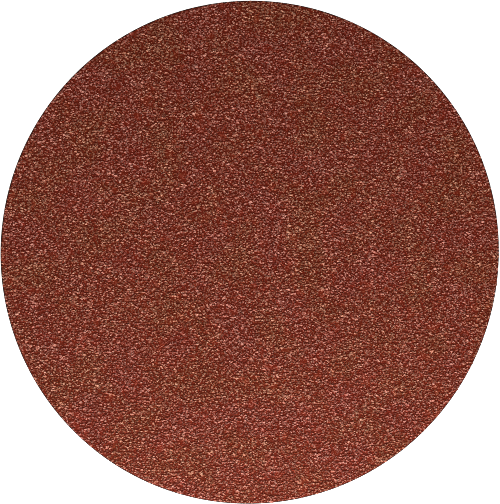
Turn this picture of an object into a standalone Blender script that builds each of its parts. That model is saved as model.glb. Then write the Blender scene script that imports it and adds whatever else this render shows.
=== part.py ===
"""Self-adhesive sanding disc: a round of coated abrasive cloth with a sticky back on a release liner.

Metres, +Z up. The disc lies on its liner with the grit side up. The origin is the centre of the
liner's outer face, and +Z is the axis that the disc spins about on its sander.
"""

import math
import random

import bmesh
import bpy
from mathutils import Vector
from mathutils.geometry import delaunay_2d_cdt

# Outline
DISC_DIAMETER = 0.150
RIM_SEGMENTS = 180

# Section, from the liner's outer face up to the tips of the grains
LINER_THICKNESS = 0.00010
LINER_CLEARANCE = 0.00002
ADHESIVE_THICKNESS = 0.00010
CLOTH_THICKNESS = 0.00065
BOND_THICKNESS = 0.00015
GRAIN_HEIGHT = 0.00045

# Cut edge: the film of glue draws back from the edge, and the grains break off along it
ADHESIVE_SETBACK = 0.00020
GRIT_SETBACK = 0.00030
GRIT_EDGE_RAGGEDNESS = 0.00015

# Grit face: clusters of grains on a shaken triangular lattice
CLUSTER_PITCH = 0.00215
CLUSTER_SHAKE = 0.36
CLUSTER_EDGE_GAP = 0.60
PEAK_SHARE = 0.42
PEAK_HEIGHTS = (0.60, 1.00)
VALLEY_HEIGHTS = (0.00, 0.30)
GRIT_SEED = 36

# Finish of each piece: colour, roughness, metallic
GRIT_FINISH = ((0.190, 0.044, 0.028, 1.0), 0.55, 0.0)
LINER_FINISH = ((0.640, 0.520, 0.360, 1.0), 0.60, 0.0)

DISC_RADIUS = DISC_DIAMETER / 2
SHARP_ANGLE = math.radians(6)
WELD_DISTANCE = 1e-7


def clear_scene():
    """Removes the objects that the start-up file holds."""
    for old in list(bpy.data.objects):
        bpy.data.objects.remove(old)


def make_material(name, finish):
    """A plain material with the piece's colour, roughness and metallic value."""
    colour, roughness, metallic = finish
    material = bpy.data.materials.new(name)
    material.use_nodes = True
    shader = material.node_tree.nodes["Principled BSDF"]
    shader.inputs["Base Color"].default_value = colour
    shader.inputs["Roughness"].default_value = roughness
    shader.inputs["Metallic"].default_value = metallic
    material.diffuse_color = colour
    return material


def start_round(bm, radius):
    """A filled circle at z = 0 that faces down. Returns its edges."""
    made = bmesh.ops.create_circle(bm, cap_ends=True, segments=RIM_SEGMENTS, radius=radius)
    bottom = made["verts"][0].link_faces[0]
    if bottom.normal.z > 0:
        bottom.normal_flip()
    return list(bottom.edges)


def raise_ring(bm, edges, radius, z):
    """Extrudes the open rim to a ring of this radius at this height. Returns its edges."""
    grown = bmesh.ops.extrude_edge_only(bm, edges=edges)["geom"]
    for vert in (v for v in grown if isinstance(v, bmesh.types.BMVert)):
        outwards = Vector((vert.co.x, vert.co.y, 0.0)).normalized()
        vert.co = outwards * radius + Vector((0.0, 0.0, z))
    return [e for e in grown if isinstance(e, bmesh.types.BMEdge)]


def finish_object(bm, name, material, parent, height):
    """Turns the mesh into a named object that stands at this height over its parent."""
    bmesh.ops.recalc_face_normals(bm, faces=bm.faces)
    mesh = bpy.data.meshes.new(name)
    bm.to_mesh(mesh)
    bm.free()
    mesh.materials.append(material)
    mesh.shade_smooth()
    mesh.set_sharp_from_angle(angle=SHARP_ANGLE)
    placed = bpy.data.objects.new(name, mesh)
    bpy.context.scene.collection.objects.link(placed)
    placed.parent = parent
    placed.location.z = height
    return placed


def roughen_edge(verts, rng):
    """Shakes the rim of the grit in and out, as the die leaves it."""
    for vert in verts:
        outwards = Vector((vert.co.x, vert.co.y, 0.0)).normalized()
        vert.co -= outwards * rng.uniform(0.0, GRIT_EDGE_RAGGEDNESS)


def cluster_places(reach, rng):
    """Places (x, y) of the clusters within this distance of the centre."""
    row_step = CLUSTER_PITCH * math.sqrt(3) / 2
    rows = math.ceil(reach / row_step)
    columns = math.ceil(reach / CLUSTER_PITCH) + 1
    shake = CLUSTER_SHAKE * CLUSTER_PITCH
    places = []
    for row in range(-rows, rows + 1):
        offset = CLUSTER_PITCH / 2 if row % 2 else 0.0
        for column in range(-columns, columns + 1):
            place = Vector((column * CLUSTER_PITCH + offset, row * row_step))
            place += Vector((rng.uniform(-shake, shake), rng.uniform(-shake, shake)))
            if place.length < reach:
                places.append(place)
    return places


def cluster_height(rng):
    """Share of the grain height at which one corner of the grit face stands."""
    heights = PEAK_HEIGHTS if rng.random() < PEAK_SHARE else VALLEY_HEIGHTS
    return rng.uniform(*heights)


def cover_with_grit(bm, edges, z):
    """Closes the open rim with a face of sharp, uneven facets that rise from the bond at z."""
    rng = random.Random(GRIT_SEED)
    rim = sorted({v for e in edges for v in e.verts}, key=lambda v: math.atan2(v.co.y, v.co.x))
    roughen_edge(rim, rng)

    reach = min(v.co.xy.length for v in rim) - CLUSTER_EDGE_GAP * CLUSTER_PITCH
    places = [v.co.xy.copy() for v in rim] + cluster_places(reach, rng)
    rim_edges = [(i, (i + 1) % len(rim)) for i in range(len(rim))]
    inside_rim = 1
    found = delaunay_2d_cdt(places, rim_edges, [], inside_rim, WELD_DISTANCE)
    triangles, origins = found[2], found[3]

    corners = []
    for place, origin in zip(found[0], origins, strict=True):
        if origin and origin[0] < len(rim):
            corners.append(rim[origin[0]])
        else:
            height = z + GRAIN_HEIGHT * cluster_height(rng)
            corners.append(bm.verts.new((place.x, place.y, height)))
    for triangle in triangles:
        bm.faces.new([corners[i] for i in triangle])


def make_sanding_disc(parent):
    """Adhesive film, cloth, bond and grain, which are one bonded sheet cut out by a die."""
    cloth_bottom = ADHESIVE_THICKNESS
    cloth_top = cloth_bottom + CLOTH_THICKNESS
    bond_top = cloth_top + BOND_THICKNESS
    bm = bmesh.new()
    rim = start_round(bm, DISC_RADIUS - ADHESIVE_SETBACK)
    rim = raise_ring(bm, rim, DISC_RADIUS - ADHESIVE_SETBACK, cloth_bottom)
    rim = raise_ring(bm, rim, DISC_RADIUS, cloth_bottom)
    rim = raise_ring(bm, rim, DISC_RADIUS, cloth_top)
    rim = raise_ring(bm, rim, DISC_RADIUS - GRIT_SETBACK, bond_top)
    cover_with_grit(bm, rim, bond_top)
    material = make_material("red_brown_grit", GRIT_FINISH)
    height = LINER_THICKNESS + LINER_CLEARANCE
    return finish_object(bm, "sanding_disc", material, parent, height)


def make_release_liner(parent):
    """The paper that keeps the adhesive clean until the disc is used, cut flush with the cloth."""
    bm = bmesh.new()
    rim = start_round(bm, DISC_RADIUS)
    rim = raise_ring(bm, rim, DISC_RADIUS, LINER_THICKNESS)
    bmesh.ops.edgeloop_fill(bm, edges=rim)
    material = make_material("liner_paper", LINER_FINISH)
    return finish_object(bm, "release_liner", material, parent, 0.0)


def main():
    clear_scene()
    centre = bpy.data.objects.new("disc_centre", None)
    bpy.context.scene.collection.objects.link(centre)
    make_release_liner(centre)
    make_sanding_disc(centre)


main()
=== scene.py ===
"""Looks of the self-adhesive sanding disc: resin and grain on filled cloth, adhesive and liner.

Metres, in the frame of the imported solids, with the grit up and the liner on the floor.
"""

import math

import bmesh
import bpy
import numpy as np
from mathutils import Euler, Matrix, Vector
from mathutils import noise as cloud


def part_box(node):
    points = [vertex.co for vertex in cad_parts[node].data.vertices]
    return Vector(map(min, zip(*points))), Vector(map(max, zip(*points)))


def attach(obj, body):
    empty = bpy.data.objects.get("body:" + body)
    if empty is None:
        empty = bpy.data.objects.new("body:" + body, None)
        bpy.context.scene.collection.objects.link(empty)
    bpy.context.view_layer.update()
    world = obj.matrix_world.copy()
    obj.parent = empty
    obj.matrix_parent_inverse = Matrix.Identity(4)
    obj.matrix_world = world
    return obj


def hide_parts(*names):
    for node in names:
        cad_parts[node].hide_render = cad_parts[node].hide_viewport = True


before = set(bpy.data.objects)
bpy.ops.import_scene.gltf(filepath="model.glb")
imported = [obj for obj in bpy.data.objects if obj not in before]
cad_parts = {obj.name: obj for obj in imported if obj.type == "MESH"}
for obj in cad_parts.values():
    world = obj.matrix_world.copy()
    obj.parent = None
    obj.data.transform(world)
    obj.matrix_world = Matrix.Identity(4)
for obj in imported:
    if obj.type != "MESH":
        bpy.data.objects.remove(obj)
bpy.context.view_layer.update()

# Section of the disc, from its lower face up
DISC_LOW, DISC_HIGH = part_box("sanding_disc")
LINER_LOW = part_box("release_liner")[0]
RADIUS = DISC_HIGH.x
ADHESIVE_THICKNESS = 0.00010
CLOTH_THICKNESS = 0.00065
BOND_THICKNESS = 0.00015
ADHESIVE_TOP = DISC_LOW.z + ADHESIVE_THICKNESS
CLOTH_TOP = ADHESIVE_TOP + CLOTH_THICKNESS
BED_TOP = CLOTH_TOP + BOND_THICKNESS
ADHESIVE_SETBACK = 0.00020
GRIT_SETBACK = 0.00030

# Resin between the grains
BED_CELLS = 180
BED_RELIEF = 0.00005
BED_SHARP = math.radians(50)

# Where the grains stand: on a triangular lattice, shaken by this share of its pitch, that ends this
# far inside the edge
GRAIN_PITCH = 0.00066
GRAIN_SHAKE = 0.433
GRAIN_EDGE = 0.00034

# Size of the grains: their width, how much it varies, its stretch along x and y, and how far they
# rise over the resin and reach into it
GRAIN_WIDTH = 0.00066
GRAIN_SPREAD = 0.20
GRAIN_STRETCH = (1.22, 0.91)
GRAIN_RISE = (0.00024, 0.00045)
GRAIN_ROOT = 0.00008

# Shape of the grains: corners on a unit sphere, shaken and squashed, the lump cut off at this
# height, and corners nearer than this joined
GRAIN_SHAPES = 64
GRAIN_CORNERS = 8
GRAIN_JITTER = 0.25
GRAIN_SQUASH = (0.8, 1.2)
GRAIN_CUT = -0.12
GRAIN_WELD = 0.22
SEED = 8

# Patches. Flooded by resin: their size, the level of noise that marks them, and the share of its
# rise that a grain keeps in them. Of one tone: their size, and how much stray grains blur them
FLOOD_PATCH = 0.0022
FLOOD_LEVEL = 0.50
FLOOD_RISE = 0.35
TONE_PATCH = 0.0110
TONE_SPREAD = 0.5

# Tones of the grains, from brown to pink: name, colour, tint of the gloss, roughness
GRAIN_TONES = (
    ("grains_brown", (0.216, 0.0225, 0.0030), (1.0, 0.570, 0.385), 0.34),
    ("grains_rust", (0.225, 0.0200, 0.0030), (1.0, 0.560, 0.398), 0.33),
    ("grains_red", (0.233, 0.0185, 0.0030), (1.0, 0.552, 0.408), 0.32),
    ("grains_deep", (0.234, 0.0173, 0.0032), (1.0, 0.545, 0.418), 0.33),
    ("grains_plum", (0.232, 0.0163, 0.0034), (1.0, 0.538, 0.429), 0.34),
)
GRAIN_IOR = 1.7
# Resin between the grains: its own red-brown, darkened further as painted shade in the gaps between
# the grains
BED_COLOUR_AND_SHADE = (0.140, 0.0080, 0.0010)
BED_TINT = (1.0, 0.54, 0.39)
BED_ROUGHNESS = 0.40
BED_IOR = 1.35

# Pale tips of the grains, partly bare grain where the resin coat is thin and partly painted
# highlight
# on the grain tops: how far over the resin they begin and are full, how much of them shows at most,
# their colour on grains of this tint, and the noise that thins them
TIP_LOW = 0.00004
TIP_HIGH = 0.00034
TIP_SHARE = 0.62
TIP_AND_HIGHLIGHT_COLOUR = (0.53, 0.320, 0.238)
TIP_TINT = (1.0, 0.552, 0.408)
TIP_NOISE = 3200
TIP_EDGE = (0.44, 0.59)

# Colours that follow a noise are given here and below as its scale, its detail and the colours
# along it, and a fine relief as the scale and detail of its noise, its depth and its strength

# Unevenness of all grit: blotches, each grain's own shade, the noise of its gloss, fine relief
BLOTCHES = (260, 2.0, ((0.35, (0.97, 1.10, 1.0)), (0.65, (1.0, 0.88, 1.0))))
GRAIN_SHADES = ((0.0, (0.88, 0.88, 0.88)), (1.0, (1.12, 1.12, 1.12)))
GLOSS_NOISE = 4000
GLOSS_SPREAD = 0.08
GLOSS_EDGE = (0.3, 0.7)
GRIT_RELIEF = (9000, 3.0, 0.00003, 0.5)

# Cut edge of the cloth
EDGE_SEGMENTS = 720
EDGE_INSET = 0.00003
CLOTH_SHARP = math.radians(20)
CLOTH_TONES = (900, 3.0, ((0.35, (0.016, 0.007, 0.005)), (0.65, (0.040, 0.016, 0.011))))
CLOTH_SPECKS = (7000, 3.0, ((0.3, (0.7, 0.7, 0.7)), (0.7, (1.5, 1.4, 1.3))))
CLOTH_ROUGHNESS = 0.85
CLOTH_SPECULAR = 0.25
CLOTH_RELIEF = (9000, 4.0, 0.00003, 0.8)

# Ends of its yarns: low domes whose foot lies inside the cloth, between these shares of the width
# and height, out of line by up to this share of their spacing, and swaying up and down
YARN_COUNT = 1600
YARN_SIDES = 8
YARN_WIDTH = 0.00054
YARN_WIDTHS = (0.7, 1.1)
YARN_HEIGHT = 0.00030
YARN_HEIGHTS = (0.7, 1.2)
YARN_DRIFT = 0.2
YARN_SWAY = 0.00015
YARN_SHAKE = 0.00005
YARN_SHOULDER = 0.7
YARN_SHOULDER_INSET = 0.3 * EDGE_INSET
YARN_FOOT_INSET = 2.5 * EDGE_INSET
YARN_SHADES = (
    (0.0, (0.045, 0.022, 0.015)),
    (0.6, (0.085, 0.048, 0.033)),
    (1.0, (0.135, 0.088, 0.062)),
)
YARN_FIBRES = (14000, 2.0, ((0.35, (0.6, 0.6, 0.6)), (0.65, (1.3, 1.3, 1.3))))
YARN_ROUGHNESS = 0.9
YARN_SPECULAR = 0.2
YARN_RELIEF = (16000, 2.0, 0.00002, 0.8)

# Film of adhesive
FILM_SHARP = math.radians(30)
FILM_TONES = (800, 2.0, ((0.3, (0.50, 0.42, 0.26)), (0.7, (0.60, 0.52, 0.36))))
FILM_ROUGHNESS = 0.25

# Paper of the liner, with dark and pale flecks at the two ends of a noise
PAPER_CLOUDS = (260, 4.0, ((0.3, (0.53, 0.42, 0.27)), (0.7, (0.69, 0.57, 0.40))))
DARK_FLECKS = ((0.28, (0.66, 0.60, 0.52)), (0.40, (1.0, 1.0, 1.0)))
PALE_FLECKS = ((0.64, (1.0, 1.0, 1.0)), (0.74, (1.16, 1.16, 1.18)))
PAPER_FLECKS = (2200, 2.0, DARK_FLECKS + PALE_FLECKS)
PAPER_ROUGHNESS = 0.45
PAPER_RELIEF = (3000, 4.0, 0.00002, 0.6)

# Map of the bed: radius of its top and of the foot of its wall, and its underside, which is small
# and in a free corner
BED_MAP_TOP = 0.47
BED_MAP_FOOT = 0.49
BED_MAP_UNDER = 0.06
BED_MAP_CORNER = (0.925, 0.925)

# Map of a grain: the margin in its cell, the depths under its root to try to look up from, and how
# high a corner may stand and still be the root's
CELL_MARGIN = 0.08
CELL_DEPTHS = (0.6, 0.5, 0.4, 0.3, 0.2, 0.1, 0.05)
ROOT_LEVEL = 1e-6

# Light, and a floor just under the liner
KEY_PLACE = (0.0, -0.27, 0.115)
KEY_SIZE = (0.12, 0.12)
KEY_WATTS = 0.83
GLINT_PLACE = (0.0, -0.33, 0.24)
GLINT_SIZE = (0.60, 0.33)
GLINT_WATTS = 4.4
WORLD_STRENGTH = 0.73
FLOOR_GAP = 0.00002
FLOOR_REACH = 12.0
FLOOR_COLOUR = (0.9, 0.9, 0.9, 1.0)
FLOOR_ROUGHNESS = 0.9
FLOOR_GLOW = 0.85
WHITE = (1.0, 1.0, 1.0, 1.0)

# Photograph's frame, and the place of the disc's middle and its radius in it, in pixels
PHOTO_WIDTH = 500
PHOTO_HEIGHT = 504
DISC_CENTRE_PX = (254.1, 253.5)
DISC_RADIUS_PX = 252.0
LENS_MM = 150
SENSOR_MM = 36

# How far the camera leans from square on, and to which side, anticlockwise from +x
CAMERA_SLANT = math.radians(8.6)
CAMERA_SIDE = math.radians(164)


def new_material(name):
    """A material, its node tree and its shader."""
    material = bpy.data.materials.new(name)
    material.use_nodes = True
    tree = material.node_tree
    return material, tree, tree.nodes["Principled BSDF"]


def noise(tree, scale, detail=2.0):
    """Noise in the object's own coordinates, with features of about 1 / scale metres."""
    place = tree.nodes.new("ShaderNodeTexCoord")
    texture = tree.nodes.new("ShaderNodeTexNoise")
    texture.inputs["Scale"].default_value = scale
    texture.inputs["Detail"].default_value = detail
    tree.links.new(place.outputs["Object"], texture.inputs["Vector"])
    return texture.outputs["Fac"]


def island_number(tree):
    """A number from 0 to 1 that differs from grain to grain, or from yarn to yarn."""
    return tree.nodes.new("ShaderNodeNewGeometry").outputs["Random Per Island"]


def ramp(tree, value, stops):
    """Colours along a value, as (position, colour) stops."""
    node = tree.nodes.new("ShaderNodeValToRGB")
    elements = node.color_ramp.elements
    while len(elements) < len(stops):
        elements.new(0.5)
    for element, (position, colour) in zip(elements, stops):
        element.position = position
        element.color = (*colour, 1.0)
    tree.links.new(value, node.inputs["Fac"])
    return node.outputs["Color"]


def tones(tree, scale, detail, stops):
    """Colours that follow a noise."""
    return ramp(tree, noise(tree, scale, detail), stops)


def mix(tree, kind, share, first, second):
    """Blends two colours. Each value is a number, a colour or a socket."""
    node = tree.nodes.new("ShaderNodeMix")
    node.data_type = "RGBA"
    node.blend_type = kind
    sockets = (node.inputs[0], node.inputs[6], node.inputs[7])
    for socket, value in zip(sockets, (share, first, second)):
        if isinstance(value, bpy.types.NodeSocket):
            tree.links.new(value, socket)
        elif isinstance(value, tuple):
            socket.default_value = (*value, 1.0)
        else:
            socket.default_value = value
    return node.outputs[2]


def remap(tree, value, low, high, from_low, from_high):
    """Stretches a value that lies between two ends to two new ones, and stops it there."""
    node = tree.nodes.new("ShaderNodeMapRange")
    node.inputs["From Min"].default_value = from_low
    node.inputs["From Max"].default_value = from_high
    node.inputs["To Min"].default_value = low
    node.inputs["To Max"].default_value = high
    tree.links.new(value, node.inputs["Value"])
    return node.outputs["Result"]


def product(tree, first, second):
    """The values of two sockets multiplied."""
    node = tree.nodes.new("ShaderNodeMath")
    node.operation = "MULTIPLY"
    tree.links.new(first, node.inputs[0])
    tree.links.new(second, node.inputs[1])
    return node.outputs[0]


def height_share(tree, low, high):
    """How far each point is up from one height to another, from 0 to 1."""
    place = tree.nodes.new("ShaderNodeTexCoord")
    parts = tree.nodes.new("ShaderNodeSeparateXYZ")
    tree.links.new(place.outputs["Object"], parts.inputs[0])
    return remap(tree, parts.outputs["Z"], 0.0, 1.0, low, high)


def add_relief(tree, shader, scale, detail, depth, strength):
    """Feeds a noise to the shader's normal, as a relief too fine for the mesh."""
    height = noise(tree, scale, detail)
    node = tree.nodes.new("ShaderNodeBump")
    node.inputs["Distance"].default_value = depth
    node.inputs["Strength"].default_value = strength
    tree.links.new(height, node.inputs["Height"])
    tree.links.new(node.outputs["Normal"], shader.inputs["Normal"])


def grit_material(name, colour, tint, roughness, ior):
    """Resin-coated grain: one tone, varied from grain to grain and in blotches, with pale tips that
    are partly bare grain and partly painted highlight.
    """
    material, tree, shader = new_material(name)
    shade = ramp(tree, island_number(tree), GRAIN_SHADES)
    toned = mix(tree, "MULTIPLY", 1.0, colour, tones(tree, *BLOTCHES))
    toned = mix(tree, "MULTIPLY", 1.0, toned, shade)
    # Tips paler with height: partly bare grain where the coat is thin, partly painted highlight on
    # the grain tops
    thin = remap(tree, noise(tree, TIP_NOISE), 0.0, TIP_SHARE, *TIP_EDGE)
    bare_tip_and_highlight = product(tree, height_share(tree, BED_TOP + TIP_LOW, BED_TOP + TIP_HIGH), thin)
    tip = tuple(c * (own / middle) for c, own, middle in zip(TIP_AND_HIGHLIGHT_COLOUR, tint, TIP_TINT))
    toned = mix(tree, "MIX", bare_tip_and_highlight, toned, tip)
    tree.links.new(toned, shader.inputs["Base Color"])
    least, most = roughness - GLOSS_SPREAD, roughness + GLOSS_SPREAD
    rough = remap(tree, noise(tree, GLOSS_NOISE), least, most, *GLOSS_EDGE)
    tree.links.new(rough, shader.inputs["Roughness"])
    shader.inputs["IOR"].default_value = ior
    shader.inputs["Specular Tint"].default_value = (*tint, 1.0)
    add_relief(tree, shader, *GRIT_RELIEF)
    return material


def cloth_material():
    """The resin that fills the cloth, as the die cuts it: dark, dull red-brown."""
    material, tree, shader = new_material("backing_cloth")
    toned = mix(tree, "MULTIPLY", 1.0, tones(tree, *CLOTH_TONES), tones(tree, *CLOTH_SPECKS))
    tree.links.new(toned, shader.inputs["Base Color"])
    shader.inputs["Roughness"].default_value = CLOTH_ROUGHNESS
    shader.inputs["Specular IOR Level"].default_value = CLOTH_SPECULAR
    add_relief(tree, shader, *CLOTH_RELIEF)
    return material


def yarn_material():
    """Cut cotton yarn soaked in resin: paler than the resin, and each end in its own shade."""
    material, tree, shader = new_material("yarn_ends")
    shade = ramp(tree, island_number(tree), YARN_SHADES)
    toned = mix(tree, "MULTIPLY", 1.0, shade, tones(tree, *YARN_FIBRES))
    tree.links.new(toned, shader.inputs["Base Color"])
    shader.inputs["Roughness"].default_value = YARN_ROUGHNESS
    shader.inputs["Specular IOR Level"].default_value = YARN_SPECULAR
    add_relief(tree, shader, *YARN_RELIEF)
    return material


def adhesive_material():
    """Smooth amber glue, a little cloudy."""
    material, tree, shader = new_material("adhesive")
    tree.links.new(tones(tree, *FILM_TONES), shader.inputs["Base Color"])
    shader.inputs["Roughness"].default_value = FILM_ROUGHNESS
    return material


def liner_material():
    """Brown release paper: cloudy, with dark and pale flecks of fibre."""
    material, tree, shader = new_material("liner_paper")
    toned = mix(tree, "MULTIPLY", 1.0, tones(tree, *PAPER_CLOUDS), tones(tree, *PAPER_FLECKS))
    tree.links.new(toned, shader.inputs["Base Color"])
    shader.inputs["Roughness"].default_value = PAPER_ROUGHNESS
    add_relief(tree, shader, *PAPER_RELIEF)
    return material


def mesh_piece(name, points, corners, material, smooth, on_map=None):
    """A mesh object that rides with the disc, with each corner's place on its map if it has one."""
    mesh = bpy.data.meshes.new(name)
    mesh.from_pydata(points, [], corners)
    if on_map is not None:
        layer = mesh.uv_layers.new(name="OFBake")
        layer.data.foreach_set("uv", np.asarray(on_map, dtype=np.float32).ravel())
    mesh.materials.append(material)
    if smooth:
        mesh.shade_smooth()
    piece = bpy.data.objects.new(name, mesh)
    bpy.context.scene.collection.objects.link(piece)
    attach(piece, "root")
    return piece


def turned_piece(name, rings, material, sharp):
    """A closed round piece through rings of (radius, height), from its lower face up."""
    angle = np.linspace(0.0, 2.0 * math.pi, EDGE_SEGMENTS, endpoint=False)
    x, y = np.cos(angle), np.sin(angle)
    levels = [np.column_stack([x * r, y * r, np.full(EDGE_SEGMENTS, z)]) for r, z in rings]
    around = np.arange(EDGE_SEGMENTS)
    after = np.roll(around, -1)
    corners = []
    top = 0
    for _ in rings[1:]:
        low, top = top, top + EDGE_SEGMENTS
        wall = np.column_stack([low + around, low + after, top + after, top + around])
        corners += wall.tolist()
    corners += [around[::-1].tolist(), (top + around).tolist()]
    piece = mesh_piece(name, np.concatenate(levels), corners, material, True)
    piece.data.set_sharp_from_angle(angle=sharp)
    return piece


def make_cloth():
    """The filled cloth: an upright cut edge, and over it the bevel that the die presses."""
    inner = RADIUS - EDGE_INSET
    bevel = (RADIUS - GRIT_SETBACK, BED_TOP - BED_RELIEF)
    rings = [(inner, ADHESIVE_TOP), (inner, CLOTH_TOP), bevel]
    piece = turned_piece("backing_cloth", rings, cloth_material(), CLOTH_SHARP)
    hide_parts("sanding_disc")


def yarn_end():
    """One yarn end: its corners as shares of its width and height, their insets, and its faces."""
    sides = np.linspace(0.0, 2.0 * math.pi, YARN_SIDES, endpoint=False)
    x, y = np.cos(sides), np.sin(sides)
    across = np.concatenate([x, YARN_SHOULDER * x, [0.0, 0.0]])
    up = np.concatenate([y, YARN_SHOULDER * y, [0.0, 0.0]])
    foot = np.full(YARN_SIDES, YARN_FOOT_INSET)
    shoulder = np.full(YARN_SIDES, YARN_SHOULDER_INSET)
    inset = np.concatenate([foot, shoulder, [0.0, YARN_FOOT_INSET]])

    ring = np.arange(YARN_SIDES)
    after = np.roll(ring, -1)
    tip, root = 2 * YARN_SIDES, 2 * YARN_SIDES + 1
    flank = np.column_stack([ring, after, YARN_SIDES + after])
    other_flank = np.column_stack([ring, YARN_SIDES + after, YARN_SIDES + ring])
    crown = np.column_stack([YARN_SIDES + ring, YARN_SIDES + after, np.full(YARN_SIDES, tip)])
    back = np.column_stack([after, ring, np.full(YARN_SIDES, root)])
    return across, up, inset, np.concatenate([flank, other_flank, crown, back])


def make_yarn_ends(rng):
    """The ends of the yarns in the cut edge, swaying up and down as the weave does."""
    order = np.arange(YARN_COUNT)
    drift = rng.uniform(-YARN_DRIFT, YARN_DRIFT, YARN_COUNT)
    turn = 2.0 * math.pi * (order + drift) / YARN_COUNT
    middle = (ADHESIVE_TOP + CLOTH_TOP) / 2.0
    sway = np.where(order % 2, YARN_SWAY, -YARN_SWAY)
    z = middle + sway + rng.uniform(-YARN_SHAKE, YARN_SHAKE, YARN_COUNT)
    wide = YARN_WIDTH / 2.0 * rng.uniform(*YARN_WIDTHS, YARN_COUNT)
    high = YARN_HEIGHT / 2.0 * rng.uniform(*YARN_HEIGHTS, YARN_COUNT)

    across, up, inset, faces = yarn_end()
    angle = turn[:, None] + wide[:, None] * across / RADIUS
    radius = RADIUS - inset
    height = z[:, None] + high[:, None] * up
    points = np.stack([radius * np.cos(angle), radius * np.sin(angle), height], axis=-1)
    corners = faces[None] + order[:, None, None] * len(across)
    material = yarn_material()
    piece = mesh_piece("yarn_ends", points.reshape(-1, 3), corners.reshape(-1, 3), material, True)
    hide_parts("sanding_disc")


def make_backing(rng):
    """Cloth and its yarns, adhesive film and liner."""
    make_cloth()
    make_yarn_ends(rng)
    edge = RADIUS - ADHESIVE_SETBACK
    rings = [(edge, DISC_LOW.z), (edge, ADHESIVE_TOP)]
    film = turned_piece("adhesive_film", rings, adhesive_material(), FILM_SHARP)
    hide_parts("sanding_disc")
    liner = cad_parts["release_liner"]
    liner.data.materials.clear()
    liner.data.materials.append(liner_material())


def round_grid(cells):
    """Points (x, y) of a square grid pressed into a unit circle, its square faces, and its rim."""
    side = np.linspace(-1.0, 1.0, cells + 1)
    u, v = np.meshgrid(side, side)
    x = u * np.sqrt(1.0 - v * v / 2.0)
    y = v * np.sqrt(1.0 - u * u / 2.0)
    index = np.arange((cells + 1) ** 2).reshape(cells + 1, cells + 1)
    faces = np.stack([index[:-1, :-1], index[:-1, 1:], index[1:, 1:], index[1:, :-1]], axis=-1)
    rim = np.concatenate([index[0, :-1], index[:-1, -1], index[-1, :0:-1], index[:0:-1, 0]])
    return np.stack([x.ravel(), y.ravel()], axis=1), faces.reshape(-1, 4), rim


def make_resin_bed(rng):
    """The resin that fills between the grains: a low relief over an upright wall."""
    plan, faces, rim = round_grid(BED_CELLS)
    reach = RADIUS - GRIT_SETBACK
    heights = BED_TOP + rng.uniform(-BED_RELIEF, BED_RELIEF, len(plan))
    heights[rim] = BED_TOP
    top = np.column_stack([plan * reach, heights])
    foot = np.column_stack([plan[rim] * reach, np.full(len(rim), CLOTH_TOP)])
    below = len(top) + np.arange(len(rim))
    wall = np.column_stack([rim, below, np.roll(below, -1), np.roll(rim, -1)])
    corners = faces.tolist() + wall.tolist() + [below[::-1].tolist()]

    top_map = 0.5 + BED_MAP_TOP * plan
    inner, outer = top_map[rim], 0.5 + BED_MAP_FOOT * plan[rim]
    next_outer, next_inner = np.roll(outer, -1, axis=0), np.roll(inner, -1, axis=0)
    wall_map = np.stack([inner, outer, next_outer, next_inner], axis=1)
    under = np.array(BED_MAP_CORNER) + BED_MAP_UNDER * plan[rim][::-1]
    on_map = np.concatenate([top_map[faces].reshape(-1, 2), wall_map.reshape(-1, 2), under])
    # The bed is darker than the grains as painted shade in the gaps between them
    material = grit_material("resin_bed", BED_COLOUR_AND_SHADE, BED_TINT, BED_ROUGHNESS, BED_IOR)
    piece = mesh_piece("resin_bed", np.concatenate([top, foot]), corners, material, True, on_map)
    piece.data.set_sharp_from_angle(angle=BED_SHARP)
    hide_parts("sanding_disc")


def rough_corners(rng):
    """Corners of one lump: points spread evenly over a unit sphere, then shaken and squashed."""
    order = np.arange(GRAIN_CORNERS) + 0.5
    level = 1.0 - 2.0 * order / GRAIN_CORNERS
    turn = order * math.pi * (3.0 - math.sqrt(5.0))
    flat = np.sqrt(1.0 - level * level)
    spots = np.stack([np.cos(turn) * flat, np.sin(turn) * flat, level], axis=1)
    spots += rng.normal(0.0, GRAIN_JITTER, spots.shape)
    spots /= np.linalg.norm(spots, axis=1)[:, None]
    return spots * rng.uniform(*GRAIN_SQUASH, 3)


def rough_shape(rng):
    """Corners and triangles of one sharp lump, cut flat at its root."""
    spots = rough_corners(rng)
    lean = Euler(rng.uniform(0.0, 2.0 * math.pi, 3)).to_matrix()
    bm = bmesh.new()
    for spot in spots:
        bm.verts.new(lean @ Vector(spot))
    bmesh.ops.convex_hull(bm, input=bm.verts)
    whole = list(bm.verts) + list(bm.edges) + list(bm.faces)
    cut = {"plane_co": (0.0, 0.0, GRAIN_CUT), "plane_no": (0.0, 0.0, 1.0), "clear_inner": True}
    bmesh.ops.bisect_plane(bm, geom=whole, **cut)
    bmesh.ops.delete(bm, geom=list(bm.edges), context="EDGES_FACES")
    bmesh.ops.remove_doubles(bm, verts=bm.verts, dist=GRAIN_WELD)
    bmesh.ops.convex_hull(bm, input=bm.verts)
    loose = [v for v in bm.verts if not v.link_faces]
    bmesh.ops.delete(bm, geom=loose, context="VERTS")
    bmesh.ops.recalc_face_normals(bm, faces=bm.faces)
    bm.verts.index_update()
    corners = np.array([v.co[:] for v in bm.verts])
    triangles = np.array([[v.index for v in f.verts] for f in bm.faces])
    bm.free()
    return corners, triangles


def grain_shape(rng):
    """Corners and triangles of one sharp grain, a unit wide and high, with its root at z = 0."""
    corners, triangles = rough_shape(rng)
    low, high = corners.min(axis=0), corners.max(axis=0)
    span = high - low
    middle = np.array([(low[0] + high[0]) / 2.0, (low[1] + high[1]) / 2.0, low[2]])
    width = span[:2].mean()
    return (corners - middle) / (width, width, span[2]), triangles


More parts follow.
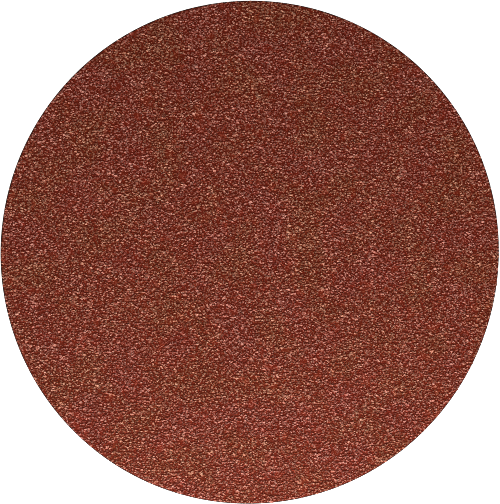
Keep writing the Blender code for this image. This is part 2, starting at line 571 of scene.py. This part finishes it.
def grain_places(rng):
    """Places (x, y) of the grains on a shaken triangular lattice."""
    reach = RADIUS - GRAIN_EDGE
    step = GRAIN_PITCH * math.sqrt(3.0) / 2.0
    rows = math.ceil(reach / step)
    columns = math.ceil(reach / GRAIN_PITCH) + 1
    row, column = np.mgrid[-rows : rows + 1, -columns : columns + 1]
    x = (column + 0.5 * (row % 2)) * GRAIN_PITCH
    y = row * step
    places = np.stack([x.ravel(), y.ravel()], axis=1)
    places += rng.uniform(-GRAIN_SHAKE, GRAIN_SHAKE, places.shape) * GRAIN_PITCH
    return places[np.hypot(places[:, 0], places[:, 1]) < reach]


def patches(places, size, layer):
    """A number at each place that drifts over patches of this size, on its own in each layer."""
    return np.array([cloud.noise(Vector((x, y, layer)) / size) for x, y in places])


def flooding(places):
    """How much of its rise the grain at each place keeps: little where the resin floods it."""
    return np.where(patches(places, FLOOD_PATCH, 1.0) > FLOOD_LEVEL, FLOOD_RISE, 1.0)


def grain_tones(places, rng):
    """The tone of the grain at each place: patches of each tone, with stray grains between."""
    drift = patches(places, TONE_PATCH, 0.0)
    drift += rng.normal(0.0, TONE_SPREAD * drift.std(), len(places))
    steps = np.quantile(drift, np.arange(1, len(GRAIN_TONES)) / len(GRAIN_TONES))
    return np.searchsorted(steps, drift)


def grain_map(shape, triangles):
    """Each triangle corner in a unit cell, as seen from under, and which triangles are the root."""
    root = (shape[triangles, 2] < ROOT_LEVEL).all(axis=1)
    for depth in CELL_DEPTHS:
        seen = shape[:, :2] / (shape[:, 2:] + depth)
        a, b, c = (seen[triangles[:, k]] for k in range(3))
        turn = (b - a)[:, 0] * (c - a)[:, 1] - (b - a)[:, 1] * (c - a)[:, 0]
        if (turn[~root] > 0).all():
            break
    low, high = seen.min(axis=0), seen.max(axis=0)
    share = (seen[triangles] - low) / (high - low)
    return CELL_MARGIN + (1.0 - 2.0 * CELL_MARGIN) * share, root


def grain_points(shape, spots, rng):
    """Corners of one shape at each place, each turned and sized on its own, inside the edge."""
    count = len(spots)
    turn = rng.uniform(0.0, 2.0 * math.pi, (count, 1))
    width = GRAIN_WIDTH * np.exp(rng.normal(0.0, GRAIN_SPREAD, (count, 1)))
    rise = rng.uniform(*GRAIN_RISE, (count, 1)) * flooding(spots)[:, None]
    across, along = width * GRAIN_STRETCH[0], width * GRAIN_STRETCH[1]
    cos, sin = np.cos(turn), np.sin(turn)
    x = across * (shape[:, 0] * cos - shape[:, 1] * sin) + spots[:, :1]
    y = along * (shape[:, 0] * sin + shape[:, 1] * cos) + spots[:, 1:]
    past = np.maximum(np.hypot(x, y).max(axis=1) - RADIUS, 0.0)
    past /= np.hypot(spots[:, 0], spots[:, 1])
    x -= (spots[:, 0] * past)[:, None]
    y -= (spots[:, 1] * past)[:, None]
    z = BED_TOP - GRAIN_ROOT + (GRAIN_ROOT + rise) * shape[:, 2]
    return np.stack([x, y, z], axis=-1).reshape(-1, 3)


def grains_mesh(places, shapes, rng):
    """Points and triangles of one grain at each place, and each corner's place on the map.

    Each grain has a cell of its own on the map, and all roots share the last cell, which is spare.
    """
    points, corners, map_spots, used, cell = [], [], [], 0, 0
    cells = math.ceil(math.sqrt(len(places) + 1))
    kinds = rng.integers(0, len(shapes), len(places))
    for kind, (shape, triangles) in enumerate(shapes):
        spots = places[kinds == kind]
        count = len(spots)
        points.append(grain_points(shape, spots, rng))
        first = used + np.arange(count)[:, None, None] * len(shape)
        corners.append((triangles[None] + first).reshape(-1, 3))
        used += count * len(shape)

        inside, root = grain_map(shape, triangles)
        order = cell + np.arange(count)
        home = np.stack([order % cells, order // cells], axis=1)[:, None, None, :]
        on_map = (home + inside[None]) / cells
        on_map[:, root] = (cells - 1 + inside[root]) / cells
        map_spots.append(on_map.reshape(-1, 2))
        cell += count
    return np.concatenate(points), np.concatenate(corners), np.concatenate(map_spots)


def make_grains(rng):
    """All grains, in a piece for each tone."""
    shapes = [grain_shape(rng) for _ in range(GRAIN_SHAPES)]
    places = grain_places(rng)
    toned = grain_tones(places, rng)
    for tone, (name, colour, tint, roughness) in enumerate(GRAIN_TONES):
        points, corners, on_map = grains_mesh(places[toned == tone], shapes, rng)
        material = grit_material(name, colour, tint, roughness, GRAIN_IOR)
        piece = mesh_piece(name, points, corners, material, False, on_map)
        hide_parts("sanding_disc")


def make_floor():
    """A plain pale floor."""
    material, _, shader = new_material("floor")
    shader.inputs["Base Color"].default_value = FLOOR_COLOUR
    shader.inputs["Roughness"].default_value = FLOOR_ROUGHNESS
    shader.inputs["Emission Color"].default_value = WHITE
    shader.inputs["Emission Strength"].default_value = FLOOR_GLOW
    mesh = bpy.data.meshes.new("floor")
    square = ((-1, -1), (1, -1), (1, 1), (-1, 1))
    height = LINER_LOW.z - FLOOR_GAP
    points = [(x * FLOOR_REACH, y * FLOOR_REACH, height) for x, y in square]
    mesh.from_pydata(points, [], [(0, 1, 2, 3)])
    mesh.materials.append(material)
    floor = bpy.data.objects.new("floor", mesh)
    bpy.context.scene.collection.objects.link(floor)


def area_light(name, place, size, watts, body, gloss):
    """A soft light that faces the disc and lights its body colour, its gloss, or both."""
    light = bpy.data.lights.new(name, "AREA")
    light.shape = "RECTANGLE"
    light.size, light.size_y = size
    light.energy = watts
    lamp = bpy.data.objects.new(name, light)
    lamp.location = place
    lamp.rotation_euler = (-Vector(place)).to_track_quat("-Z", "Y").to_euler()
    lamp.visible_camera = False
    lamp.visible_diffuse = body
    lamp.visible_glossy = gloss
    bpy.context.scene.collection.objects.link(lamp)


def make_light():
    """A low key light for the body colour, a wide one for the gloss, and a white surround."""
    area_light("key", KEY_PLACE, KEY_SIZE, KEY_WATTS, True, False)
    area_light("glint", GLINT_PLACE, GLINT_SIZE, GLINT_WATTS, False, True)
    world = bpy.data.worlds.new("studio")
    world.use_nodes = True
    background = world.node_tree.nodes["Background"]
    background.inputs["Color"].default_value = WHITE
    background.inputs["Strength"].default_value = WORLD_STRENGTH
    world.cycles_visibility.glossy = False
    bpy.context.scene.world = world


def keep_speckle():
    """Plain tones, and pixels that aren't smoothed, so that the fine speckle of the grit stays."""
    scene = bpy.context.scene
    scene.view_settings.view_transform = "Standard"
    scene.cycles.use_denoising = False
    scene.cycles.filter_width = 1.0


def make_camera():
    """From above, leaning a little to the left, with the disc filling the frame as in the photo."""
    data = bpy.data.cameras.new("camera")
    data.lens = LENS_MM
    data.sensor_width = SENSOR_MM
    metres_per_pixel = RADIUS / DISC_RADIUS_PX
    distance = metres_per_pixel * PHOTO_HEIGHT * LENS_MM / SENSOR_MM
    across = (PHOTO_WIDTH / 2 - DISC_CENTRE_PX[0]) * metres_per_pixel
    down = (PHOTO_HEIGHT / 2 - DISC_CENTRE_PX[1]) * metres_per_pixel
    lean = math.sin(CAMERA_SLANT)
    x, y = lean * math.cos(CAMERA_SIDE), lean * math.sin(CAMERA_SIDE)
    back = Vector((x, y, math.cos(CAMERA_SLANT)))
    right = Vector((0.0, 1.0, 0.0)).cross(back).normalized()
    camera = bpy.data.objects.new("camera", data)
    camera.location = Vector((across, -down, CLOTH_TOP)) + distance * back
    camera.rotation_euler = Matrix((right, back.cross(right), back)).transposed().to_euler()
    bpy.context.scene.collection.objects.link(camera)
    bpy.context.scene.camera = camera


def main():
    rng = np.random.default_rng(SEED)
    make_camera()
    make_light()
    keep_speckle()
    make_floor()
    make_backing(rng)
    make_resin_bed(rng)
    make_grains(rng)


main()
